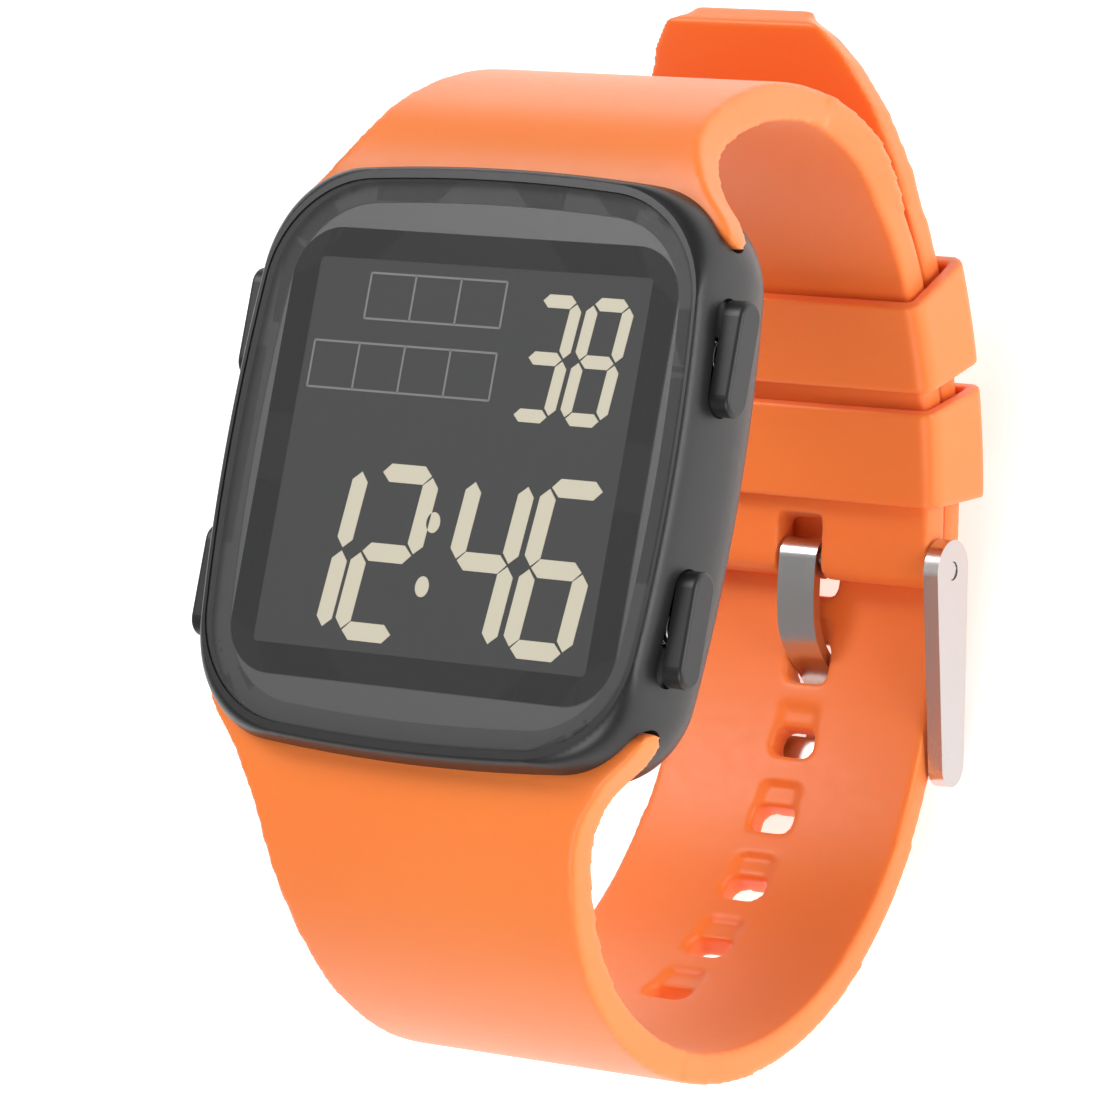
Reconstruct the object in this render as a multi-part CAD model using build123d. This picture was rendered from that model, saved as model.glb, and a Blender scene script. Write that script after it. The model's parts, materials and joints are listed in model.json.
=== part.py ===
from build123d import *
import os
from math import atan2, cos, degrees, hypot, pi, radians, sin, sqrt

os.makedirs("parts", exist_ok=True)

# A square digital watch with a silicone strap buckled into its loop.
# Millimetres. Origin: middle of the case back's flat face. +Z out through the display,
# +Y to 12 o'clock, +X to 3 o'clock.

# ---- case -------------------------------------------------------------------------------
CASE_X = 41.0           # across the widest level, without the buttons
CASE_Y = 45.0           # 12 to 6 o'clock across the widest level
CASE_Z = 11.0           # case back to glass
CORNER = 6.6            # corner radius at the widest level
SIDE_BOW = 150.0        # radius of the gently bowed sides
RIM_CORNER = 9.0        # corner radius of the rim round the glass
# height as a share of CASE_Z, step in from the widest level, change of corner radius
CASE_LEVELS = (
    (0.00, 2.30, 0.0),
    (0.07, 1.25, 0.0),
    (0.20, 0.50, 0.0),
    (0.47, 0.00, 0.0),
    (0.80, 0.18, 0.5),
    (0.95, 0.48, 1.5),
    (1.00, 0.85, 2.4),
)

# ---- glass and display ------------------------------------------------------------------
LENS_T = 0.9
LENS_X = 38.7
LENS_Y = 42.0
LENS_CORNER = 8.7
LENS_FIT = 0.05         # gap all round the glass
GLUE_T = 0.1            # adhesive ring and printed mask under the glass
GLUE_W = 1.6            # width of the adhesive ring
WINDOW = 29.4           # visible square of the display
MASK_OUT = 34.0         # outer size of the printed mask
LCD_X = 31.0
LCD_Y = 31.0
LCD_T = 1.4
LEDGE_FIT = 0.2         # gap round the display in the case ledge

# ---- cavity and case back ---------------------------------------------------------------
CAVITY_X = 33.2
CAVITY_Y = 33.2
CAVITY_CORNER = 4.0
LEDGE_T = 1.5           # case roof under the glass
BACK_X = 34.8
BACK_Y = 35.6
BACK_CORNER = 5.5
BACK_T = 1.2
BACK_FIT = 0.05
SEAL_T = 0.4
SEAL_W = 0.5
BOSS = 14.3             # centre of the corner screw posts, X and Y
BOSS_R = 2.1
SCREW_HEAD_R = 1.3
SCREW_HEAD_T = 0.8
SCREW_R = 0.7
SCREW_L = 4.2
SLOT_W = 0.4            # cross recess of the screws
SCREW_FIT = 0.05

# ---- module -----------------------------------------------------------------------------
MODULE_X = 30.8
MODULE_Y = 31.4
MODULE_WALL = 0.8
MODULE_LOW = 1.8
BOARD_Z = 4.6
BOARD_T = 0.8
BOARD_FIT = 0.1
BATTERY_R = 10.0
BATTERY_T = 2.5
BATTERY_AT = (-3.6, -3.6)
BATTERY_FIT = 0.15
BATTERY_Z = 1.7
CLIP_T = 0.2
CLIP_W_Y = 3.0          # width of the battery clip
CLIP_PAD = 1.2
BUZZER_R = 4.4
BUZZER_T = 0.2
BUZZER_AT = (9.0, 8.6)
BACKLIGHT_X = 27.0
BACKLIGHT_Y = 24.6
BACKLIGHT_T = 0.8
ZEBRA_L = 23.0
ZEBRA_W = 1.6
CRYSTAL_R = 1.0
CRYSTAL_L = 6.0
CHIP = 7.0
CHIP_T = 0.9

# ---- buttons ----------------------------------------------------------------------------
BUTTON_L = 8.6
BUTTON_W = 2.8
BUTTON_FACE = 21.8      # outer face from the middle of the case
BUTTON_Z = 7.35
BUTTON_Y = {"upper": 9.7, "lower": -10.2}
BUTTON_FIT = 0.1
BUTTON_TRAVEL = 0.8
CAP_T = 1.65
STEM_R = 0.65
STEM_FIT = 0.07
STEM_TIP = 15.9
CLIP_R = 1.0
CLIP_W = 0.25
CLIP_GAP = 0.15
RING_R = 0.25           # section radius of the stem seal
SPRING_R = 1.1
SPRING_WIRE = 0.14      # radius of the wire
SPRING_TURNS = 3.0

# ---- strap loop -------------------------------------------------------------------------
HEAD_Z = 6.85           # middle of the strap's head in the case slot
HEAD_T = 2.9
HEAD_FIT = 0.25
SLOT_ROOT = 17.6        # deepest point of the slot, from the middle of the case
LOOP_Y = -6.3           # common centre of both straps where they overlap
LOOP_Z = 1.7
LOOP_IN = 45.5          # middle of the buckle strap, from that centre
LOOP_OUT = 48.75        # middle of the holed strap
NECK_R = 8.0            # bend of each strap where it leaves the case
BUCKLE_T = 2.9
HOLED_T = 2.5
TOP_Y = 32.8            # furthest reach of the buckle strap's middle line
TOP_Z = -12.5
LOW_Y = -40.1           # furthest reach of the holed strap's middle line
LOW_Z = -16.4
LOW_FRONT_R = 24.6
TAIL_ANGLE = 42.6       # where the tail leaves the loop, from straight down towards +Y
TAIL_L = 21.0           # straight tail from there to its tip
TAIL_R = 2000.0         # all but straight
# outline of the tail: half width, distance from the tip
TAIL = ((11.2, 13.0), (10.3, 8.0), (8.8, 4.0), (7.3, 1.6), (5.4, 0.0))
# plan outline of a strap from its head outwards: half width, distance from the middle
PLAN = (
    (19.75, 17.0),
    (19.3, 18.6),
    (18.4, 20.0),
    (17.5, 21.0),
    (16.5, 22.2),
    (15.7, 23.5),
    (14.8, 25.2),
    (13.7, 30.0),
    (12.95, 35.0),
    (12.5, 42.0),
)
END_HALF = 11.9         # half width at the buckle and through the keepers
TAIL_HALF = 11.6

# ---- holes ------------------------------------------------------------------------------
HOLE_PITCH = 6.8
HOLE_W = 3.7
HOLE_L = 2.4
HOLE_USED_L = 3.4       # the hole in use, stretched by the tongue
HOLE_CORNER = 0.8
HOLE_ANGLE = 1.4        # the hole in use, from straight down
HOLES_BEFORE = 5        # towards the case
HOLES_AFTER = 3         # towards the tip
RECESS_L = 2.0
RECESS_T = 0.3

# ---- buckle -----------------------------------------------------------------------------
PIN_ANGLE = 11.8
PIN_LOOP_R = 45.7
PIN_R = 0.7
PIN_FIT = 0.06
EYE_R = 1.65            # strap end and tongue curl round the pin
TONGUE_W = 3.4
TONGUE_T = 1.0
TONGUE_SLOT = 4.1
TONGUE_SLOT_END = 16.0  # angle where the slot in the strap ends
BAR_ANGLE = -6.4
BAR_R = 51.25           # middle of the far bar
BAR_T = 1.6
BAR_W = 2.0
ARM_IN = 12.15
ARM_T = 1.3
ARM_PIN_R = 2.5
ARM_BAR_R = 1.75

# ---- keepers ----------------------------------------------------------------------------
KEEPER_WALL = 1.2
KEEPER_FIT = 0.3
KEEPER_HALF = 12.15     # half width of the opening
KEEPER_REACH = 50.0     # angle that the upper keeper never passes
KEEPER_SPAN = {"upper": (30.9, 40.9), "lower": (18.4, 28.7)}

# ---- strap screws -----------------------------------------------------------------------
STRAP_SCREW_X = 11.0
STRAP_SCREW_Y = 19.7
STRAP_SCREW_HEAD_Z = 1.6
STRAP_SCREW_TOP = 9.3

LENS_Z = CASE_Z - LENS_T
LEDGE_Z = LENS_Z - GLUE_T
ROOF_Z = LEDGE_Z - LEDGE_T
LCD_Z = LEDGE_Z - LCD_T
STEP_Z = BACK_T + SEAL_T
BOARD_TOP = BOARD_Z + BOARD_T
MODULE_TOP = LCD_Z - BOARD_FIT
DEEP = LOOP_Z - LOOP_OUT - CASE_Z     # level below every piece


def save(shape, name):
    """Write one node: a solid, or a group of separate solids."""
    solids = [shape] if isinstance(shape, Solid) else shape.solids()
    export_step(solids[0] if len(solids) == 1 else Compound(children=list(solids)), f"parts/{name}.step")


def block(x, y, z, low):
    """Box centred on X and Y, standing on the level low."""
    return Pos(0, 0, low + z / 2) * Box(x, y, z)


def rounded(x, y, corner):
    """Face with straight sides and rounded corners."""
    return make_face(RectangleRounded(x, y, corner).wire())


def slab(x, y, corner, low, high):
    return Pos(0, 0, low) * extrude(rounded(x, y, corner), amount=high - low)


def bowed(x, y, corner):
    """Face with four gently bowed sides and corner arcs tangent to them."""
    cx = x / 2 - SIDE_BOW
    cy = y / 2 - SIDE_BOW
    reach = SIDE_BOW - corner
    apart = hypot(cx, cy)
    out = sqrt(reach * reach - apart * apart / 4)
    mx = cx / 2 - out * cy / apart
    my = cy / 2 - out * cx / apart
    side = SIDE_BOW / reach
    px = cx + (mx - cx) * side
    py = my * side
    qx = mx * side
    qy = cy + (my - cy) * side
    mid = hypot(px + qx - 2 * mx, py + qy - 2 * my)
    kx = mx + corner * (px + qx - 2 * mx) / mid
    ky = my + corner * (py + qy - 2 * my) / mid
    arcs = [
        ThreePointArc((px, -py), (x / 2, 0), (px, py)),
        ThreePointArc((px, py), (kx, ky), (qx, qy)),
        ThreePointArc((qx, qy), (0, y / 2), (-qx, qy)),
        ThreePointArc((-qx, qy), (-kx, ky), (-px, py)),
        ThreePointArc((-px, py), (-x / 2, 0), (-px, -py)),
        ThreePointArc((-px, -py), (-kx, -ky), (-qx, -qy)),
        ThreePointArc((-qx, -qy), (0, -y / 2), (qx, -qy)),
        ThreePointArc((qx, -qy), (kx, -ky), (px, -py)),
    ]
    return make_face(arcs)


def on_loop(angle, radius):
    """Point (Y, Z) about the loop's centre; the angle runs from straight down towards +Y."""
    turn = radians(angle)
    return (LOOP_Y + radius * sin(turn), LOOP_Z - radius * cos(turn))


def across(face, half):
    """Extrude a face drawn in Y and Z to both sides of the middle."""
    return extrude(Plane.YZ * face, amount=half, both=True)


def rod(y, z, radius, x0, x1):
    """Cylinder along X."""
    turned = Rot(0, 90, 0) * Cylinder(radius, x1 - x0)
    return Pos((x0 + x1) / 2, y, z) * turned


def place_on_loop(angle, radius):
    """Plane on the loop: X along the width, Y towards the tip, Z outwards."""
    y, z = on_loop(angle, radius)
    turn = radians(angle)
    return Plane(origin=(0, y, z), x_dir=(-1, 0, 0), z_dir=(0, sin(turn), -cos(turn)))


# ---- case -------------------------------------------------------------------------------
def case_shell():
    levels = []
    for share, inset, rounder in CASE_LEVELS:
        face = bowed(CASE_X - 2 * inset, CASE_Y - 2 * inset, CORNER + rounder)
        levels.append(Pos(0, 0, share * CASE_Z) * face)
    return loft(levels)


def strap_slot(side):
    """Slot across the whole case end, round at its root."""
    half = HEAD_T / 2 + HEAD_FIT
    start = SLOT_ROOT + half
    root = rod(side * start, HEAD_Z, half, -CASE_X, CASE_X)
    mouth = Pos(0, side * (start + CASE_Y / 2), HEAD_Z) * Box(2 * CASE_X, CASE_Y, 2 * half)
    return root + mouth


def stadium(length, width, x0, x1):
    """Rounded bar shape with its long way on Y, from x0 to x1 along X."""
    face = make_face(SlotOverall(length, width).wire())
    return Plane(origin=(x0, 0, 0), x_dir=(0, 1, 0), z_dir=(1, 0, 0)) * extrude(face, amount=x1 - x0)


POCKET_FLOOR = BUTTON_FACE - CAP_T - BUTTON_TRAVEL - BUTTON_FIT
SPRING_SEAT = POCKET_FLOOR - 0.85
GROOVE_X = SPRING_SEAT - 1.1


def button_bore(y):
    """Stepped bore for the button on the +X side: cap pocket, spring, seal groove and stem."""
    pocket = stadium(BUTTON_L + 2 * BUTTON_FIT, BUTTON_W + 2 * BUTTON_FIT, POCKET_FLOOR, CASE_X)
    pocket = Pos(0, y, BUTTON_Z) * pocket
    spring = rod(y, BUTTON_Z, SPRING_R + 2 * SPRING_WIRE + BUTTON_FIT, SPRING_SEAT, CASE_X)
    groove = rod(y, BUTTON_Z, STEM_R + 2 * RING_R + 2 * STEM_FIT, GROOVE_X, GROOVE_X + 2 * RING_R + 2 * STEM_FIT)
    stem = rod(y, BUTTON_Z, STEM_R + STEM_FIT, CAVITY_X / 2 - 1, CASE_X)
    return pocket + spring + groove + stem


def screw_hole(x, y, head_top, top):
    head = Pos(x, y, head_top - 5) * Cylinder(SCREW_HEAD_R + SCREW_FIT, 10)
    shank = Pos(x, y, (head_top + top) / 2) * Cylinder(SCREW_R + SCREW_FIT, top - head_top)
    return head + shank


def case_body():
    body = case_shell()
    fit = 2 * LENS_FIT
    seat = Pos(0, 0, LENS_Z - GLUE_T) * extrude(bowed(LENS_X + fit, LENS_Y + fit, LENS_CORNER), amount=5)
    body -= seat
    body -= slab(LCD_X + 2 * LEDGE_FIT, LCD_Y + 2 * LEDGE_FIT, 1.0, ROOF_Z - 1, CASE_Z)
    body -= slab(CAVITY_X, CAVITY_Y, CAVITY_CORNER, -1, ROOF_Z)
    body -= slab(BACK_X + 2 * BACK_FIT, BACK_Y + 2 * BACK_FIT, BACK_CORNER, -1, STEP_Z)
    for side, arcs, thick in ((1, BUCKLE_ARCS, BUCKLE_T), (-1, HOLED_ARCS, HOLED_T)):
        body -= strap_slot(side)
        body -= across(band(arcs[:2], side, thick + 2 * HEAD_FIT), CASE_X)
    for x in (-BOSS, BOSS):
        for y in (-BOSS, BOSS):
            post = Pos(x, y, (STEP_Z + ROOF_Z) / 2) * Cylinder(BOSS_R, ROOF_Z - STEP_Z)
            bore = Pos(x, y, STEP_Z) * Cylinder(SCREW_R + SCREW_FIT, 2 * SCREW_L)
            body += post - bore
    for y in BUTTON_Y.values():
        bore = button_bore(y)
        body -= bore
        body -= mirror(bore, about=Plane.YZ)
    for x in (-STRAP_SCREW_X, STRAP_SCREW_X):
        for y in (-STRAP_SCREW_Y, STRAP_SCREW_Y):
            body -= screw_hole(x, y, STRAP_SCREW_HEAD_Z, STRAP_SCREW_TOP)
    return body


def lens():
    glass = extrude(bowed(LENS_X, LENS_Y, LENS_CORNER), amount=LENS_T)
    glass = chamfer(glass.faces().sort_by(Axis.Z)[-1].outer_wire().edges(), 0.15)
    return Pos(0, 0, LENS_Z) * glass


def glue_ring():
    ring = extrude(bowed(LENS_X, LENS_Y, LENS_CORNER), amount=GLUE_T)
    inner_x = LENS_X - 2 * GLUE_W
    inner_y = LENS_Y - 2 * GLUE_W
    ring -= extrude(bowed(inner_x, inner_y, LENS_CORNER - GLUE_W), amount=GLUE_T)
    return Pos(0, 0, LEDGE_Z) * ring


def display_mask():
    sheet = slab(MASK_OUT, MASK_OUT, 4.0, LEDGE_Z, LENS_Z)
    return sheet - slab(WINDOW, WINDOW, 0.4, LEDGE_Z - 1, CASE_Z)


def case_back():
    plate = slab(BACK_X, BACK_Y, BACK_CORNER, 0, BACK_T)
    low = plate.faces().sort_by(Axis.Z)[0].outer_wire().edges()
    plate = chamfer(low, 0.25)
    for x in (-BOSS, BOSS):
        for y in (-BOSS, BOSS):
            plate -= screw_hole(x, y, SCREW_HEAD_T, BACK_T + 1)
    return plate


def case_back_gasket():
    outer_x = CAVITY_X + 2 * SEAL_W
    outer_y = CAVITY_Y + 2 * SEAL_W
    ring = slab(outer_x, outer_y, CAVITY_CORNER + SEAL_W, BACK_T, STEP_Z)
    return ring - slab(CAVITY_X, CAVITY_Y, CAVITY_CORNER, 0, CASE_Z)


def screw(x, y, head_low, head_t, top):
    """Pan-head screw pointing up, with a cross recess in its head."""
    head = Pos(x, y, head_low + head_t / 2) * Cylinder(SCREW_HEAD_R, head_t)
    shank = Pos(x, y, (head_low + head_t + top) / 2) * Cylinder(SCREW_R, top - head_low - head_t)
    depth = head_t / 2
    cross = Pos(x, y, head_low + depth / 2) * Box(2 * SCREW_R, SLOT_W, depth)
    cross += Pos(x, y, head_low + depth / 2) * Box(SLOT_W, 2 * SCREW_R, depth)
    return head + shank - cross


def screws(xs, ys, head_low, head_t, top):
    return [screw(x, y, head_low, head_t, top) for x in xs for y in ys]


# ---- module -----------------------------------------------------------------------------
def module_frame():
    frame = slab(MODULE_X, MODULE_Y, 1.0, MODULE_LOW, MODULE_TOP)
    inner_x = MODULE_X - 2 * MODULE_WALL
    inner_y = MODULE_Y - 2 * MODULE_WALL
    frame -= slab(inner_x, inner_y, 0.5, BOARD_Z, CASE_Z)
    bx, by = BATTERY_AT
    frame -= Pos(bx, by, 0) * Cylinder(BATTERY_R + BATTERY_FIT, 4 * CASE_Z)
    zx, zy = BUZZER_AT
    frame -= Pos(zx, zy, 0) * Cylinder(SPRING_R + 4 * SPRING_WIRE, 4 * CASE_Z)
    for x in (-BOSS, BOSS):
        for y in (-BOSS, BOSS):
            frame -= Pos(x, y, 0) * Cylinder(BOSS_R + BOARD_FIT, 4 * CASE_Z)
    for y in BUTTON_Y.values():
        frame -= Pos(0, y, BOARD_TOP + CASE_Z / 2) * Box(2 * CASE_X, 2 * CLIP_R + 1.2, CASE_Z)
    return max(frame.solids(), key=lambda solid: solid.volume)


def circuit_board():
    x = MODULE_X - 2 * MODULE_WALL - 2 * BOARD_FIT
    y = MODULE_Y - 2 * MODULE_WALL - 2 * BOARD_FIT
    board = slab(x, y, 0.5, BOARD_Z, BOARD_TOP)
    for bx in (-BOSS, BOSS):
        for by in (-BOSS, BOSS):
            board -= Pos(bx, by, 0) * Cylinder(BOSS_R + 2 * BOARD_FIT, 4 * CASE_Z)
    return board


def battery():
    x, y = BATTERY_AT
    can = Pos(x, y, BATTERY_Z + BATTERY_T / 2) * Cylinder(BATTERY_R, BATTERY_T)
    rims = can.edges().filter_by(GeomType.CIRCLE)
    return fillet(rims, 0.3)


def battery_clip():
    """Sprung steel strip under the cell, with a raised pad at each end against the module."""
    x, y = BATTERY_AT
    low = BATTERY_Z - CLIP_T
    reach = BATTERY_R + BATTERY_FIT
    strip = block(CLIP_W_Y, 2 * reach + 2 * CLIP_PAD, CLIP_T, low)
    for side in (-1, 1):
        strip += Pos(0, side * (reach + CLIP_PAD / 2), 0) * block(CLIP_W_Y, CLIP_PAD, MODULE_LOW - low, low)
    return Pos(x, y, 0) * strip


def buzzer_disc():
    x, y = BUZZER_AT
    return Pos(x, y, BACK_T + BUZZER_T / 2) * Cylinder(BUZZER_R, BUZZER_T)


def coil(radius, wire, height, turns):
    """Round-wire spring standing on the origin along Z, its wire inside the height."""
    rise = height - 2 * wire
    path = Helix(pitch=rise / turns, height=rise, radius=radius)
    section = Plane(origin=path @ 0, z_dir=path % 0) * Circle(wire)
    return Pos(0, 0, wire) * sweep(section, path=path)


def buzzer_spring():
    x, y = BUZZER_AT
    low = BACK_T + BUZZER_T
    return Pos(x, y, low) * coil(SPRING_R, SPRING_WIRE, BOARD_Z - low, 5)


def backlight_panel():
    return block(BACKLIGHT_X, BACKLIGHT_Y, BACKLIGHT_T, LCD_Z - BACKLIGHT_T)


def connector_strips():
    gap = (MODULE_Y / 2 - MODULE_WALL + BACKLIGHT_Y / 2) / 2
    strip = block(ZEBRA_L, ZEBRA_W, LCD_Z - BOARD_TOP, BOARD_TOP)
    return [Pos(0, side * gap, 0) * strip for side in (-1, 1)]


def chip():
    die = slab(CHIP, CHIP, 1.0, BOARD_TOP, BOARD_TOP + CHIP_T)
    top = die.faces().sort_by(Axis.Z)[-1].outer_wire().edges()
    return chamfer(top, 0.3)


def quartz_crystal():
    return rod(8.2, BOARD_TOP + CRYSTAL_R, CRYSTAL_R, -CRYSTAL_L / 2, CRYSTAL_L / 2)


def button_contacts():
    """Four sprung leaves on the board, facing the button stems."""
    x = MODULE_X / 2 - MODULE_WALL - 3 * BOARD_FIT
    leaf = block(CLIP_T, 2 * CLIP_R, BUTTON_Z + CLIP_R - BOARD_TOP, BOARD_TOP)
    foot = Pos(-0.6, 0, 0) * block(1.2, 2 * CLIP_R, CLIP_T, BOARD_TOP)
    pair = []
    for side in (-1, 1):
        for y in BUTTON_Y.values():
            one = Pos(x, y, 0) * (leaf + foot)
            pair.append(one if side > 0 else mirror(one, about=Plane.YZ))
    return pair


# ---- buttons ----------------------------------------------------------------------------
CLIP_X = CAVITY_X / 2 - CLIP_GAP - CLIP_W


def button(y):
    """Cap and stem in one piece, on the +X side."""
    cap = stadium(BUTTON_L, BUTTON_W, BUTTON_FACE - CAP_T, BUTTON_FACE)
    outer = cap.faces().sort_by(Axis.X)[-1].edges()
    cap = Pos(0, y, BUTTON_Z) * fillet(outer, 0.35)
    stem = rod(y, BUTTON_Z, STEM_R, STEM_TIP, BUTTON_FACE - CAP_T / 2)
    neck = rod(y, BUTTON_Z, STEM_R, CLIP_X, CLIP_X + CLIP_W)
    neck -= rod(y, BUTTON_Z, STEM_R - 0.2, CLIP_X, CLIP_X + CLIP_W)
    return cap + stem - neck


def button_clip(y):
    """Open retaining ring in the stem's groove."""
    ring = rod(y, BUTTON_Z, CLIP_R, CLIP_X + 0.01, CLIP_X + CLIP_W - 0.01)
    ring -= rod(y, BUTTON_Z, STEM_R - 0.18, CLIP_X - 1, CLIP_X + 1)
    return ring - Pos(CLIP_X, y, BUTTON_Z - CLIP_R) * Box(2, STEM_R, 2 * CLIP_R)


def button_seal(y):
    ring = Torus(STEM_R + RING_R + STEM_FIT / 2, RING_R - STEM_FIT / 4)
    return Pos(GROOVE_X + RING_R + STEM_FIT, y, BUTTON_Z) * Rot(0, 90, 0) * ring


def button_spring(y):
    length = BUTTON_FACE - CAP_T - SPRING_SEAT
    spring = coil(SPRING_R, SPRING_WIRE, length, SPRING_TURNS)
    return Pos(SPRING_SEAT, y, BUTTON_Z) * Rot(0, 90, 0) * spring


# ---- straps -----------------------------------------------------------------------------
def strap_arcs(side, reach_y, reach_z, front_radius, loop_radius, end_angle):
    """Arcs (centre Y, centre Z, radius, first angle, last angle) of a strap's middle line.

    They run from the case, round the end of the loop and along the wrist side, each tangent
    to the next. Y is mirrored by side. A front_radius of None carries the side arc on.
    """
    loop_y = side * LOOP_Y
    far = side * reach_y - loop_y
    drop = LOOP_Z - reach_z
    turn_r = (loop_radius ** 2 - far ** 2 - drop ** 2) / (2 * (loop_radius - far))
    front_r = front_radius or turn_r
    turn_y = side * reach_y - turn_r
    front_y = side * reach_y - front_r
    neck_z = HEAD_Z - NECK_R
    neck_y = front_y + sqrt((front_r - NECK_R) ** 2 - (neck_z - reach_z) ** 2)
    leave = degrees(atan2(neck_z - reach_z, neck_y - front_y))
    join = degrees(atan2(reach_z - LOOP_Z, turn_y - loop_y))
    last = end_angle - 90 if side > 0 else -end_angle - 90
    return (
        (neck_y, neck_z, NECK_R, 90.0, leave),
        (front_y, reach_z, front_r, leave, 0.0),
        (turn_y, reach_z, turn_r, 0.0, join),
        (loop_y, LOOP_Z, loop_radius, join, last),
    )


def band(arcs, side, thickness):
    """Closed face of even thickness along the arcs."""
    def point(arc, radius, angle):
        return (side * (arc[0] + radius * cos(radians(angle))), arc[1] + radius * sin(radians(angle)))

    def edge(arc, shift):
        radius = arc[2] + shift
        middle = (arc[3] + arc[4]) / 2
        ends = [point(arc, radius, angle) for angle in (arc[3], middle, arc[4])]
        return ThreePointArc(*ends)

    half = thickness / 2
    outer = [edge(arc, half) for arc in arcs]
    inner = [edge(arc, -half) for arc in arcs]
    first = Line(outer[0] @ 0, inner[0] @ 0)
    last = Line(outer[-1] @ 1, inner[-1] @ 1)
    return make_face(outer + inner + [first, last])


BUCKLE_ARCS = strap_arcs(1, TOP_Y, TOP_Z, None, LOOP_IN, PIN_ANGLE)
HOLED_LOOP = strap_arcs(-1, LOW_Y, LOW_Z, LOW_FRONT_R, LOOP_OUT, TAIL_ANGLE)


def tail_arc(loop):
    """Tangent stretch that carries the holed strap from the loop to its tip."""
    centre_y, centre_z, radius, _, start = loop
    back = TAIL_R - radius
    y = centre_y - back * cos(radians(start))
    z = centre_z - back * sin(radians(start))
    return (y, z, TAIL_R, start, start - degrees(TAIL_L / TAIL_R))


HOLED_ARCS = HOLED_LOOP + (tail_arc(HOLED_LOOP[3]),)


def plan_prism(side, low, high):
    """Prism of the strap's outline seen from the front, between two levels."""
    right = [(half, side * out) for half, out in PLAN]
    left = [(-half, y) for half, y in reversed(right)]
    edges = [
        Spline(*right),
        Line(right[-1], left[0]),
        Spline(*left),
        Line(left[-1], right[0]),
    ]
    return Pos(0, 0, low) * extrude(make_face(edges), amount=high - low)


def plan_half(out):
    """Half width of the plan outline at a distance from the middle, past its neck."""
    (half0, out0), (half1, out1) = PLAN[-3:-1] if out < PLAN[-2][1] else PLAN[-2:]
    return half0 + (half1 - half0) * (out - out0) / (out1 - out0)


def tapered_prism(sides, low, high):
    """Prism whose half width runs evenly between the given (half width, Y) pairs."""
    corners = sides + [(-half, y) for half, y in reversed(sides)]
    return Pos(0, 0, low) * extrude(make_face(Polyline(*corners, close=True)), amount=high - low)


def strap_head(arcs, side):
    """Part of the strap inside the case slot, round at its root."""
    half = HEAD_T / 2
    start = SLOT_ROOT + HEAD_FIT + half
    length = arcs[0][0] - start
    root = rod(side * start, HEAD_Z, half, -CASE_X, CASE_X)
    return root + Pos(0, side * (start + length / 2), HEAD_Z) * Box(2 * CASE_X, length, HEAD_T)


def strap_screw_holes(side):
    holes = []
    for x in (-STRAP_SCREW_X, STRAP_SCREW_X):
        holes.append(Pos(x, side * STRAP_SCREW_Y, HEAD_Z) * Cylinder(SCREW_R + SCREW_FIT, 2 * HEAD_T))
    return holes


def buckle_strap():
    run = across(band(BUCKLE_ARCS, 1, BUCKLE_T), CASE_X)
    run += strap_head(BUCKLE_ARCS, 1)
    far = TOP_Y + BUCKLE_T
    front = run & plan_prism(1, TOP_Z, CASE_Z)
    near = on_loop(PIN_ANGLE, LOOP_IN)[0] - 2 * EYE_R
    even = on_loop(KEEPER_REACH, LOOP_IN)[0]
    turn = plan_half(TOP_Y)
    back = run & tapered_prism([(END_HALF, near), (END_HALF, even), (turn, TOP_Y), (turn, far)], DEEP, TOP_Z)
    strap = front + back
    pin_y, pin_z = on_loop(PIN_ANGLE, PIN_LOOP_R)
    strap += rod(pin_y, pin_z, EYE_R, -END_HALF, END_HALF)
    strap -= rod(pin_y, pin_z, PIN_R + PIN_FIT, -CASE_X, CASE_X)
    slot_from = on_loop(TONGUE_SLOT_END, PIN_LOOP_R)[0]
    strap -= Pos(0, slot_from - 5, pin_z) * Box(TONGUE_SLOT, 10, 12)
    for hole in strap_screw_holes(1):
        strap -= hole
    return strap


def holed_strap_place(travel):
    """Plane on the holed strap's middle, travel millimetres from the hole in use towards the case."""
    angle = HOLE_ANGLE - degrees(travel / LOOP_OUT)
    join = -(HOLED_ARCS[3][3] + 90)
    if angle >= join:
        return place_on_loop(angle, LOOP_OUT)
    left = travel - radians(HOLE_ANGLE - join) * LOOP_OUT
    centre_y, centre_z, radius, _, start = HOLED_ARCS[2]
    turn = radians(start + degrees(left / radius))
    out_y = -cos(turn)
    out_z = sin(turn)
    spot = (0, -centre_y + radius * out_y, centre_z + radius * out_z)
    return Plane(origin=spot, x_dir=(-1, 0, 0), z_dir=(0, out_y, out_z))


def strap_hole(length_y):
    """Through-hole with a shallow rounded recess beside it on the wrist side."""
    hole = extrude(rounded(HOLE_W, length_y, HOLE_CORNER), amount=HOLED_T, both=True)
    length = length_y / 2 + RECESS_L
    recess = extrude(rounded(HOLE_W, length, HOLE_CORNER), amount=HOLED_T)
    floor = -HOLED_T / 2 + RECESS_T - HOLED_T
    return hole + Pos(0, length / 2, floor) * recess


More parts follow.
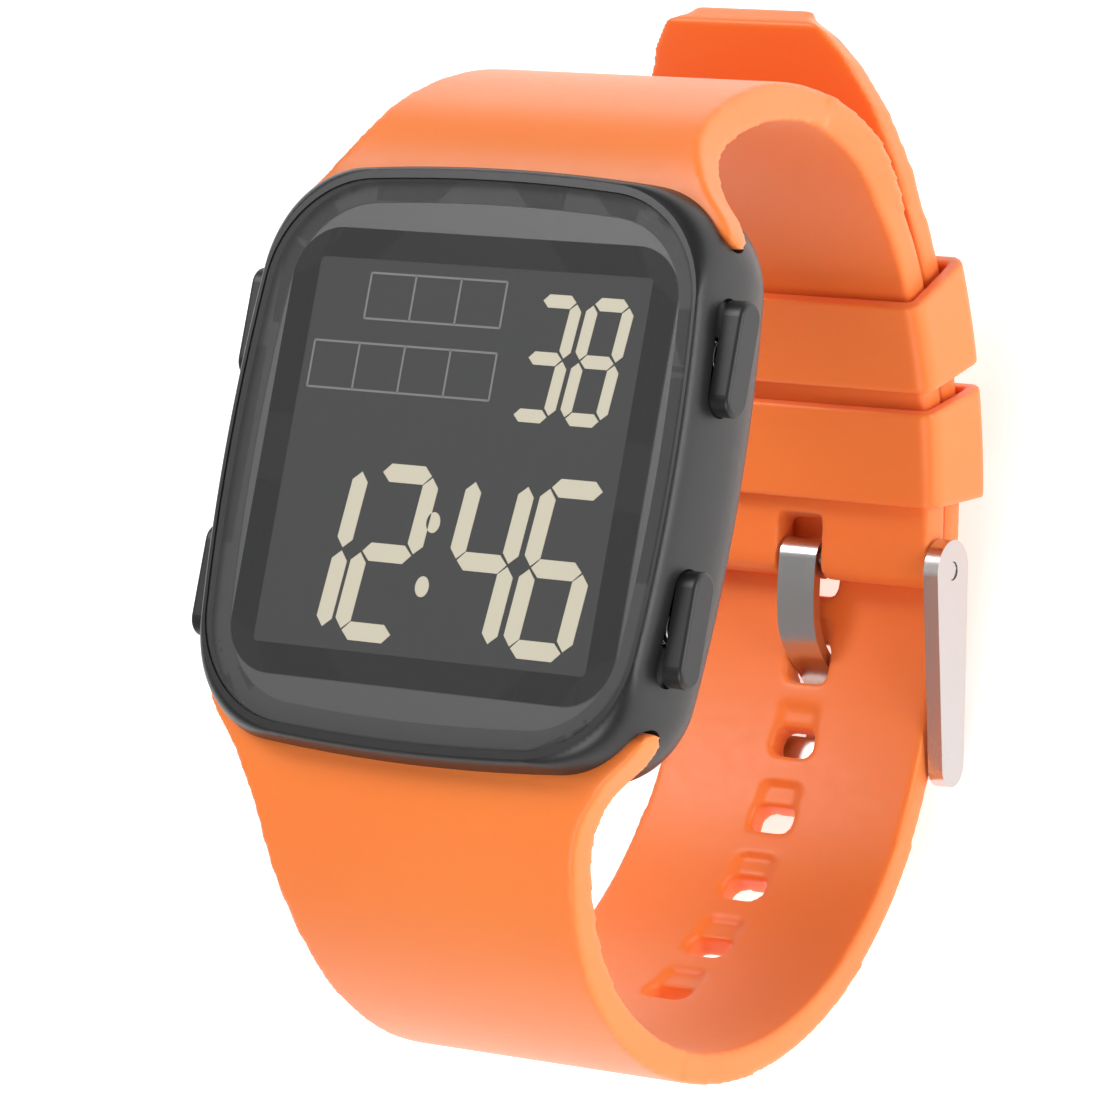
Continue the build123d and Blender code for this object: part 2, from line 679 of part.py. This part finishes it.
def holed_strap():
    run = across(band(HOLED_ARCS, -1, HOLED_T), CASE_X)
    run += strap_head(HOLED_ARCS, -1)
    front = run & plan_prism(-1, LOW_Z, CASE_Z)
    turn = plan_half(-LOW_Y)
    even = on_loop(HOLE_ANGLE, LOOP_OUT)[0]
    low = tapered_prism([(turn, LOW_Y - HOLED_T), (turn, LOW_Y), (TAIL_HALF, even)], DEEP, LOW_Z)
    leave = on_loop(TAIL_ANGLE, LOOP_OUT)[0]
    run_y = cos(radians(TAIL_ANGLE))
    sides = [(half, leave + (TAIL_L - from_tip) * run_y) for half, from_tip in TAIL]
    past_tip = (sides[-1][0], sides[-1][1] + HOLED_T)
    tail = tapered_prism([(TAIL_HALF, even), (TAIL_HALF, leave)] + sides + [past_tip], DEEP, CASE_Z / 2)
    back = (run & low) + (run & tail)
    strap = front + back
    for number in range(-HOLES_AFTER, HOLES_BEFORE + 1):
        length_y = HOLE_L if number else HOLE_USED_L
        strap -= holed_strap_place(number * HOLE_PITCH) * strap_hole(length_y)
    for hole in strap_screw_holes(-1):
        strap -= hole
    return strap


# ---- buckle -----------------------------------------------------------------------------
PIN_Y, PIN_Z = on_loop(PIN_ANGLE, PIN_LOOP_R)


def buckle_pin():
    return rod(PIN_Y, PIN_Z, PIN_R, -ARM_IN - ARM_T + 0.1, ARM_IN + ARM_T - 0.1)


def ribbon(points, half):
    """Smooth strip of even thickness through points in Y and Z."""
    left = []
    right = []
    for i, (y, z) in enumerate(points):
        before = points[max(i - 1, 0)]
        after = points[min(i + 1, len(points) - 1)]
        dy = after[0] - before[0]
        dz = after[1] - before[1]
        length = hypot(dy, dz)
        left.append((y - half * dz / length, z + half * dy / length))
        right.append((y + half * dz / length, z - half * dy / length))
    edges = [Spline(*left), Line(left[-1], right[-1]), Spline(*right), Line(left[0], right[0])]
    return make_face(edges)


def buckle_tongue():
    """Bowed tongue: curled round the pin, down through the hole and onto the far bar."""
    inside = PIN_LOOP_R - EYE_R + TONGUE_T / 2
    outside = BAR_R + BAR_T / 2 + TONGUE_T / 2 + 0.04
    middle = LOOP_OUT
    points = [
        on_loop(PIN_ANGLE, inside),
        on_loop(PIN_ANGLE - 3.6, inside + 0.1),
        on_loop(HOLE_ANGLE + 2.6, inside + 1.25),
        on_loop(HOLE_ANGLE, middle),
        on_loop(HOLE_ANGLE - 1.9, outside - 1.2),
        on_loop(HOLE_ANGLE - 4.6, outside),
        on_loop(BAR_ANGLE - 1.6, outside + 0.05),
    ]
    strip = across(ribbon(points, TONGUE_T / 2), TONGUE_W / 2)
    curl = rod(PIN_Y, PIN_Z, EYE_R, -TONGUE_W / 2, TONGUE_W / 2)
    tongue = strip + curl
    return tongue - rod(PIN_Y, PIN_Z, PIN_R + PIN_FIT, -CASE_X, CASE_X)


def buckle_frame():
    """Steel frame: two side arms on the pin, joined by the far bar outside the holed strap."""
    end = on_loop(BAR_ANGLE, BAR_R - (ARM_BAR_R - BAR_T / 2))
    span = hypot(end[0] - PIN_Y, end[1] - PIN_Z)
    slope = degrees(atan2(end[1] - PIN_Z, end[0] - PIN_Y))
    lean = (ARM_PIN_R - ARM_BAR_R) / span
    tilt = sqrt(1 - lean * lean)
    web = Polyline(
        (ARM_PIN_R * lean, ARM_PIN_R * tilt),
        (span + ARM_BAR_R * lean, ARM_BAR_R * tilt),
        (span + ARM_BAR_R * lean, -ARM_BAR_R * tilt),
        (ARM_PIN_R * lean, -ARM_PIN_R * tilt),
        close=True,
    )
    side = make_face(web) + Circle(ARM_PIN_R) + Pos(span, 0) * Circle(ARM_BAR_R)
    side = Pos(PIN_Y, PIN_Z) * Rot(0, 0, slope) * side
    arms = across(side, ARM_IN + ARM_T) - across(side, ARM_IN)
    place = place_on_loop(BAR_ANGLE, BAR_R)
    bar = place * Box(2 * (ARM_IN + ARM_T / 2), BAR_W, BAR_T)
    frame = arms + bar
    return frame - rod(PIN_Y, PIN_Z, PIN_R + PIN_FIT, -CASE_X, CASE_X)


# ---- keepers ----------------------------------------------------------------------------
def keeper(first, last):
    """Loop round both straps, curved about the loop's centre."""
    inner = LOOP_IN - BUCKLE_T / 2 - KEEPER_FIT
    outer = LOOP_OUT + HOLED_T / 2 + KEEPER_FIT
    middle = (inner + outer) / 2
    height = outer - inner
    section = rounded(2 * (KEEPER_HALF + KEEPER_WALL), height + 2 * KEEPER_WALL, 1.4)
    section -= rounded(2 * KEEPER_HALF, height, 0.3)
    start = on_loop(first, middle)
    turn = radians(first)
    plane = Plane(
        origin=(0, start[0], start[1]),
        x_dir=(1, 0, 0),
        z_dir=(0, -cos(turn), -sin(turn)),
    )
    axis = Axis((0, LOOP_Y, LOOP_Z), (1, 0, 0))
    return revolve(plane * section, axis=axis, revolution_arc=last - first)


def build():
    save(case_body(), "case_body")
    save(lens(), "lens")
    save(glue_ring(), "lens_adhesive_ring")
    save(display_mask(), "display_mask")
    save(slab(LCD_X, LCD_Y, 0.3, LCD_Z, LEDGE_Z), "lcd_panel")
    save(backlight_panel(), "backlight_panel")
    save(Compound(children=connector_strips()), "connector_strips")
    save(module_frame(), "module_frame")
    save(circuit_board(), "circuit_board")
    save(chip(), "clock_chip")
    save(quartz_crystal(), "quartz_crystal")
    save(Compound(children=button_contacts()), "button_contacts")
    save(battery(), "battery")
    save(battery_clip(), "battery_clip")
    save(buzzer_disc(), "buzzer_disc")
    save(buzzer_spring(), "buzzer_spring")
    save(case_back(), "case_back")
    save(case_back_gasket(), "case_back_gasket")
    posts = (-BOSS, BOSS)
    save(Compound(children=screws(posts, posts, 0.05, SCREW_HEAD_T - 0.05, SCREW_L)), "case_back_screws")
    xs = (-STRAP_SCREW_X, STRAP_SCREW_X)
    ys = (-STRAP_SCREW_Y, STRAP_SCREW_Y)
    head_low = STRAP_SCREW_HEAD_Z - SCREW_HEAD_T
    long = screws(xs, ys, head_low, SCREW_HEAD_T, STRAP_SCREW_TOP - SCREW_FIT)
    save(Compound(children=long), "strap_screws")
    for level, y in BUTTON_Y.items():
        pieces = {
            "button": button(y),
            "button_clip": button_clip(y),
            "button_seal": button_seal(y),
            "button_spring": button_spring(y),
        }
        for name, piece in pieces.items():
            save(piece, f"{level}_right_{name}")
            save(mirror(piece, about=Plane.YZ), f"{level}_left_{name}")
    save(buckle_strap(), "buckle_strap")
    save(holed_strap(), "holed_strap")
    save(buckle_pin(), "buckle_pin")
    save(buckle_tongue(), "buckle_tongue")
    save(buckle_frame(), "buckle_frame")
    for name, (first, last) in KEEPER_SPAN.items():
        save(keeper(first, last), f"{name}_keeper")


build()
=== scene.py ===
import json
from math import cos, pi, radians, sin

import bmesh
import bpy
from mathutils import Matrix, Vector


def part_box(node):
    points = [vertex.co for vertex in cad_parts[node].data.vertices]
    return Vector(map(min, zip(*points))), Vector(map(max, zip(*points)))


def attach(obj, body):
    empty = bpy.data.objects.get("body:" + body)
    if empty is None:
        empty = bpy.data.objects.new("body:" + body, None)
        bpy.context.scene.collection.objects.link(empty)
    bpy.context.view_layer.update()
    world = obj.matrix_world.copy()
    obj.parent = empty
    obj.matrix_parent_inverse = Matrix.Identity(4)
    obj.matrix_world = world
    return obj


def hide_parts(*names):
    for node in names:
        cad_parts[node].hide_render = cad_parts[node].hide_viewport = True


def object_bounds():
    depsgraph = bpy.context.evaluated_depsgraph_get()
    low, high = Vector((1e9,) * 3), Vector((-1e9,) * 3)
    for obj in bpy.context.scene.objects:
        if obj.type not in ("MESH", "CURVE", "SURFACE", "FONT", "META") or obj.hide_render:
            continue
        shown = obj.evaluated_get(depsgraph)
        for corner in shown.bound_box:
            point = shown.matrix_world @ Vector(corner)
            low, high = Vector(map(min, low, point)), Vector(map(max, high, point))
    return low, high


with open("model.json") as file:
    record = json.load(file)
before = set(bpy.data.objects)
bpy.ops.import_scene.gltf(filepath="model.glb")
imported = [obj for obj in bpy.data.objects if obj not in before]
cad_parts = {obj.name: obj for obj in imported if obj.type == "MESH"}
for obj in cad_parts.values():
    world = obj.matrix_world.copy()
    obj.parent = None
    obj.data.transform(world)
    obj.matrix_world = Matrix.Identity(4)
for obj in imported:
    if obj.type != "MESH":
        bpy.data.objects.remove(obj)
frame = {"nodes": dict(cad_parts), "record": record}
cad_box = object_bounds()

MM = 0.001

# ---- camera -----------------------------------------------------------------------------
LENS_MM = 193.5
SENSOR_MM = 36.0
CAMERA_AT = (241.22, -54.91, 366.30)
CAMERA_TURN = (12.756, 31.329, 11.537)

# ---- lamps (m, W): place, size, power ---------------------------------------------------
LAMPS = {
    "key": ((-0.25, 0.25, 0.45), 0.25, 1.9),
    "side": ((0.45, 0.05, 0.05), 0.3, 1.3),
    "front": ((0.1, -0.35, 0.3), 0.25, 0.9),
}
LAMP_AIM = (0, 0, -0.02)
SKY_LEVEL = 0.32
FLOOR_SIZE = 6.0         # m
FLOOR_GAP = 0.0005       # m below the lowest point
FLOOR_GLOW = 0.55

# ---- digits (mm): Y up the display, X across, both from its middle ----------------------
LCD_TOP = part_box("lcd_panel")[1][2] / MM
INK_T = 0.04
INK_GAP = 0.02
SLANT = 0.10             # sideways lean of a digit, as a share of its height
STROKE = 0.115           # stroke width, as a share of the digit's height
SEGMENT_GAP = 0.12       # left clear at each end of a segment
# text, left, bottom, digit width, digit height, step from digit to digit
NUMBERS = (
    ("12", -13.4, -13.2, 4.6, 12.0, 6.3),
    ("46", 1.3, -13.2, 4.6, 12.0, 6.5),
    ("38", 4.6, 3.9, 3.1, 8.6, 4.5),
)
COLON_X = -0.6
COLON_Y = (-9.4, -4.6)
DOT_R = 0.6
DOT_TALL = 1.3           # height of a dot against its width
DOT_SIDES = 24
# rows of outline boxes: left, top, width, height, number of boxes
BOXES = (
    (-9.94, 13.68, 12.13, 3.48, 3),
    (-13.98, 8.31, 16.33, 3.55, 4),
)
LINE_W = 0.16
SEGMENTS = {"1": "bc", "2": "abged", "3": "abgcd", "4": "fgbc", "6": "afgedc", "8": "abcdefg"}
# both ends of each segment, as shares of a digit's width and height
ENDS = {
    "a": ((0, 1), (1, 1)),
    "b": ((1, 1), (1, 0.5)),
    "c": ((1, 0.5), (1, 0)),
    "d": ((0, 0), (1, 0)),
    "e": ((0, 0.5), (0, 0)),
    "f": ((0, 1), (0, 0.5)),
    "g": ((0, 0.5), (1, 0.5)),
}

# ---- straps and keepers (mm) ------------------------------------------------------------
STRAP_GRAIN = 0.3        # mesh size of a strap
KEEPER_GRAIN = 0.22
EASE_SHARE = 0.5
EASE_PASSES = 6


# ---- shader helpers ---------------------------------------------------------------------
def material(name, color, roughness, metallic=0.0):
    """Principled material; returns it with its node tree and shader."""
    mat = bpy.data.materials.new(name)
    mat.use_nodes = True
    shader = mat.node_tree.nodes["Principled BSDF"]
    shader.inputs["Base Color"].default_value = (*color, 1.0)
    shader.inputs["Roughness"].default_value = roughness
    shader.inputs["Metallic"].default_value = metallic
    return mat, mat.node_tree, shader


def noise(tree, scale, detail=2.0, stretch=(1.0, 1.0, 1.0)):
    """Noise on the piece's own coordinates; returns its value output."""
    place = tree.nodes.new("ShaderNodeTexCoord")
    turn = tree.nodes.new("ShaderNodeMapping")
    turn.inputs["Scale"].default_value = stretch
    tree.links.new(place.outputs["Object"], turn.inputs["Vector"])
    node = tree.nodes.new("ShaderNodeTexNoise")
    node.inputs["Scale"].default_value = scale
    node.inputs["Detail"].default_value = detail
    tree.links.new(turn.outputs["Vector"], node.inputs["Vector"])
    return node.outputs["Fac"]


def vary_roughness(tree, shader, value, low, high):
    """Roughness that follows a 0 to 1 value between two levels."""
    node = tree.nodes.new("ShaderNodeMapRange")
    node.inputs["To Min"].default_value = low
    node.inputs["To Max"].default_value = high
    tree.links.new(value, node.inputs["Value"])
    tree.links.new(node.outputs["Result"], shader.inputs["Roughness"])


def bump(tree, shader, value, strength, distance):
    node = tree.nodes.new("ShaderNodeBump")
    node.inputs["Strength"].default_value = strength
    node.inputs["Distance"].default_value = distance
    tree.links.new(value, node.inputs["Height"])
    tree.links.new(node.outputs["Normal"], shader.inputs["Normal"])


def tint(tree, shader, value, dark, light):
    """Colour that wanders between two tones."""
    mix = tree.nodes.new("ShaderNodeMix")
    mix.data_type = "RGBA"
    mix.inputs["A"].default_value = (*dark, 1.0)
    mix.inputs["B"].default_value = (*light, 1.0)
    tree.links.new(value, mix.inputs["Factor"])
    tree.links.new(mix.outputs["Result"], shader.inputs["Base Color"])


# ---- materials --------------------------------------------------------------------------
def silicone():
    mat, tree, shader = material("orange_silicone", (1.0, 0.29, 0.05), 0.42)
    shader.inputs["Subsurface Weight"].default_value = 0.25
    shader.inputs["Subsurface Radius"].default_value = (1.0, 0.35, 0.1)
    shader.inputs["Subsurface Scale"].default_value = 1.5 * MM
    shader.inputs["Sheen Weight"].default_value = 0.15
    shader.inputs["Sheen Roughness"].default_value = 0.5
    tint(tree, shader, noise(tree, 60.0), (0.98, 0.21, 0.03), (1.0, 0.25, 0.038))
    vary_roughness(tree, shader, noise(tree, 900.0), 0.38, 0.48)
    bump(tree, shader, noise(tree, 4500.0, 3.0), 0.06, 0.02 * MM)
    return mat


def black_plastic(name, level, rough):
    mat, tree, shader = material(name, (level, level, level * 1.03), rough)
    tint(tree, shader, noise(tree, 80.0), (level * 0.9,) * 3, (level * 1.1,) * 3)
    vary_roughness(tree, shader, noise(tree, 1500.0), rough - 0.04, rough + 0.05)
    bump(tree, shader, noise(tree, 5200.0, 3.0), 0.08, 0.015 * MM)
    return mat


def steel(name, level, rough, stretch):
    """Steel with fine brushing drawn out along one axis."""
    mat, tree, shader = material(name, (level, level, level * 0.985), rough, metallic=1.0)
    grain = noise(tree, 900.0, 4.0, stretch)
    vary_roughness(tree, shader, grain, rough - 0.07, rough + 0.08)
    bump(tree, shader, grain, 0.1, 0.01 * MM)
    return mat


def clear_glass():
    """Thin clear glass: straight through, with the surface's own reflection."""
    mat, _, shader = material("lens_glass", (0.97, 0.98, 0.98), 0.02)
    shader.inputs["IOR"].default_value = 1.5
    shader.inputs["Alpha"].default_value = 0.04
    shader.inputs["Specular IOR Level"].default_value = 0.12
    return mat


def plain(name, color, roughness, metallic=0.0, grain=0.05):
    """Moulded or cast finish with a faint uneven surface."""
    mat, tree, shader = material(name, color, roughness, metallic)
    vary_roughness(tree, shader, noise(tree, 700.0), roughness - 0.05, roughness + 0.05)
    bump(tree, shader, noise(tree, 2800.0, 3.0), grain, 0.015 * MM)
    return mat


def dark_layer(name, level, roughness, grain):
    """Near-black layer behind the glass, all but free of shine."""
    mat = plain(name, (level, level, level), roughness, grain=grain)
    mat.node_tree.nodes["Principled BSDF"].inputs["Specular IOR Level"].default_value = 0.04
    return mat


# ---- straps and keepers -----------------------------------------------------------------
def softened(name, node, body, mat, grain):
    """Moulded rubber piece: the node's own shape with every edge eased over."""
    obj = bpy.data.objects.new(name, frame["nodes"][node].data.copy())
    bpy.context.scene.collection.objects.link(obj)
    skin = obj.modifiers.new("skin", "REMESH")
    skin.mode = "VOXEL"
    skin.voxel_size = grain * MM
    ease = obj.modifiers.new("ease", "SMOOTH")
    ease.factor = EASE_SHARE
    ease.iterations = EASE_PASSES
    done = obj.evaluated_get(bpy.context.evaluated_depsgraph_get())
    mesh = bpy.data.meshes.new_from_object(done)
    obj.modifiers.clear()
    obj.data = mesh
    mesh.materials.clear()
    mesh.materials.append(mat)
    mesh.shade_smooth()
    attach(obj, body)
    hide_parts(node)


# ---- display ----------------------------------------------------------------------------
def printed(name, bm, mat):
    """Printed layer on the display, from a bmesh in millimetres."""
    bmesh.ops.recalc_face_normals(bm, faces=bm.faces)
    bmesh.ops.scale(bm, vec=(MM, MM, MM), verts=bm.verts)
    mesh = bpy.data.meshes.new(name)
    bm.to_mesh(mesh)
    bm.free()
    mesh.materials.append(mat)
    mesh.shade_smooth()
    mesh.set_sharp_from_angle(angle=radians(30.0))
    obj = bpy.data.objects.new(name, mesh)
    bpy.context.scene.collection.objects.link(obj)
    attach(obj, "case")


def flat_shape(bm, corners):
    """Thin printed shape standing on the display."""
    low = LCD_TOP + INK_GAP
    face = bm.faces.new([bm.verts.new((x, y, low)) for x, y in corners])
    raised = bmesh.ops.extrude_face_region(bm, geom=[face])["geom"]
    tops = [item for item in raised if isinstance(item, bmesh.types.BMVert)]
    bmesh.ops.translate(bm, vec=(0, 0, INK_T), verts=tops)


def segment(bm, start, end, width):
    """Stroke of a digit, with pointed ends."""
    along = (Vector(end) - Vector(start)).normalized()
    side = Vector((-along.y, along.x)) * width / 2
    first = Vector(start) + along * SEGMENT_GAP
    last = Vector(end) - along * SEGMENT_GAP
    point = along * width / 2
    lower = (first, first + point - side, last - point - side)
    upper = (last, last - point + side, first + point + side)
    flat_shape(bm, lower + upper)


def digits():
    bm = bmesh.new()
    for text, left, low, width, height, step in NUMBERS:
        for place, figure in enumerate(text):
            for name in SEGMENTS[figure]:
                ends = []
                for u, v in ENDS[name]:
                    x = left + place * step + u * width + SLANT * v * height
                    ends.append((x, low + v * height))
                segment(bm, ends[0], ends[1], STROKE * height)
    turns = [2 * pi * count / DOT_SIDES for count in range(DOT_SIDES)]
    for y in COLON_Y:
        dot = [(COLON_X + DOT_R * cos(a), y + DOT_TALL * DOT_R * sin(a)) for a in turns]
        flat_shape(bm, dot)
    return bm


def rectangle(bm, x0, x1, y0, y1):
    flat_shape(bm, ((x0, y0), (x1, y0), (x1, y1), (x0, y1)))


def box_lines():
    """Rows of empty outline boxes in the display's upper left."""
    bm = bmesh.new()
    half = LINE_W / 2
    for left, top, width, height, count in BOXES:
        for part in range(count + 1):
            x = left + width * part / count
            rectangle(bm, x - half, x + half, top - height, top)
        for y in (top, top - height):
            rectangle(bm, left, left + width, y - half, y + half)
    return bm


# ---- studio -----------------------------------------------------------------------------
def sky():
    """Even white sky, white to the camera and softer on the object."""
    scene = bpy.context.scene
    scene.view_settings.view_transform = "Standard"
    world = bpy.data.worlds.new("studio")
    scene.world = world
    world.use_nodes = True
    tree = world.node_tree
    background = tree.nodes["Background"]
    background.inputs["Color"].default_value = (1.0, 1.0, 1.0, 1.0)
    path = tree.nodes.new("ShaderNodeLightPath")
    level = tree.nodes.new("ShaderNodeMapRange")
    level.inputs["To Min"].default_value = SKY_LEVEL
    level.inputs["To Max"].default_value = 1.0
    tree.links.new(path.outputs["Is Camera Ray"], level.inputs["Value"])
    tree.links.new(level.outputs["Result"], background.inputs["Strength"])


def floor():
    """Plain pale floor under the lowest point."""
    low = cad_box[0][2] - FLOOR_GAP
    bpy.ops.mesh.primitive_plane_add(size=FLOOR_SIZE, location=(0, 0, low))
    ground = bpy.context.object
    ground.name = "floor"
    mat, _, shader = material("floor_white", (0.9, 0.9, 0.9), 0.9)
    shader.inputs["Specular IOR Level"].default_value = 0.0
    shader.inputs["Emission Color"].default_value = (1.0, 1.0, 1.0, 1.0)
    shader.inputs["Emission Strength"].default_value = FLOOR_GLOW
    ground.data.materials.append(mat)


def lamp(name, at, size, power):
    data = bpy.data.lights.new(name, "AREA")
    data.energy = power
    data.size = size
    obj = bpy.data.objects.new(name, data)
    obj.location = at
    direction = Vector(LAMP_AIM) - Vector(at)
    obj.rotation_euler = direction.to_track_quat("-Z", "Y").to_euler()
    bpy.context.scene.collection.objects.link(obj)


def camera():
    data = bpy.data.cameras.new("camera")
    data.sensor_width = SENSOR_MM
    data.lens = LENS_MM
    data.clip_start = 0.01
    data.clip_end = 10.0
    view = bpy.data.objects.new("camera", data)
    view.location = [value * MM for value in CAMERA_AT]
    view.rotation_euler = [radians(value) for value in CAMERA_TURN]
    bpy.context.scene.collection.objects.link(view)
    bpy.context.scene.camera = view


camera()
sky()
floor()
for name, (at, size, power) in LAMPS.items():
    lamp(name, at, size, power)

SILICONE = silicone()
slot_material = {
    "case_plastic": black_plastic("case_black", 0.009, 0.36),
    "button_plastic": black_plastic("button_black", 0.012, 0.42),
    "lens_glass": clear_glass(),
    "mask_print": dark_layer("mask_black", 0.009, 0.3, 0.05),
    "display_glass": dark_layer("display_black", 0.0015, 0.35, 0.01),
    "strap_silicone": SILICONE,
    "buckle_steel": steel("buckle_steel", 0.62, 0.24, (1.0, 0.08, 0.08)),
    "back_steel": steel("back_steel", 0.55, 0.3, (0.05, 1.0, 1.0)),
    "adhesive": plain("adhesive_black", (0.02, 0.02, 0.02), 0.6),
    "light_guide": plain("light_guide_white", (0.8, 0.78, 0.7), 0.35),
    "module_plastic": plain("module_white", (0.7, 0.7, 0.68), 0.5),
    "connector_rubber": plain("connector_grey", (0.25, 0.27, 0.32), 0.6),
    "board_laminate": plain("board_green", (0.02, 0.16, 0.06), 0.4),
    "chip_resin": plain("chip_black", (0.015, 0.015, 0.016), 0.55),
    "inner_steel": steel("inner_steel", 0.6, 0.3, (1.0, 1.0, 0.1)),
    "contact_brass": plain("contact_brass", (0.78, 0.55, 0.22), 0.3, 1.0),
    "spring_steel": plain("spring_steel", (0.55, 0.55, 0.56), 0.28, 1.0),
    "seal_rubber": plain("seal_black", (0.02, 0.02, 0.02), 0.65),
}
slots = {entry["node"]: entry["material_slot"] for entry in frame["record"]["subparts"]}
for node, obj in frame["nodes"].items():
    obj.data.materials.clear()
    obj.data.materials.append(slot_material[slots[node]])
    obj.data.shade_smooth()
    obj.data.set_sharp_from_angle(angle=radians(25.0))

printed("display_digits", digits(), plain("digit_cream", (0.6, 0.55, 0.41), 0.5))
printed("display_boxes", box_lines(), plain("line_grey", (0.12, 0.12, 0.115), 0.5))
for node in ("buckle_strap", "holed_strap"):
    softened(f"{node}_skin", node, "case", SILICONE, STRAP_GRAIN)
for end in ("upper", "lower"):
    keeper = f"{end}_keeper"
    softened(f"{keeper}_skin", keeper, f"{keeper}_body", SILICONE, KEEPER_GRAIN)
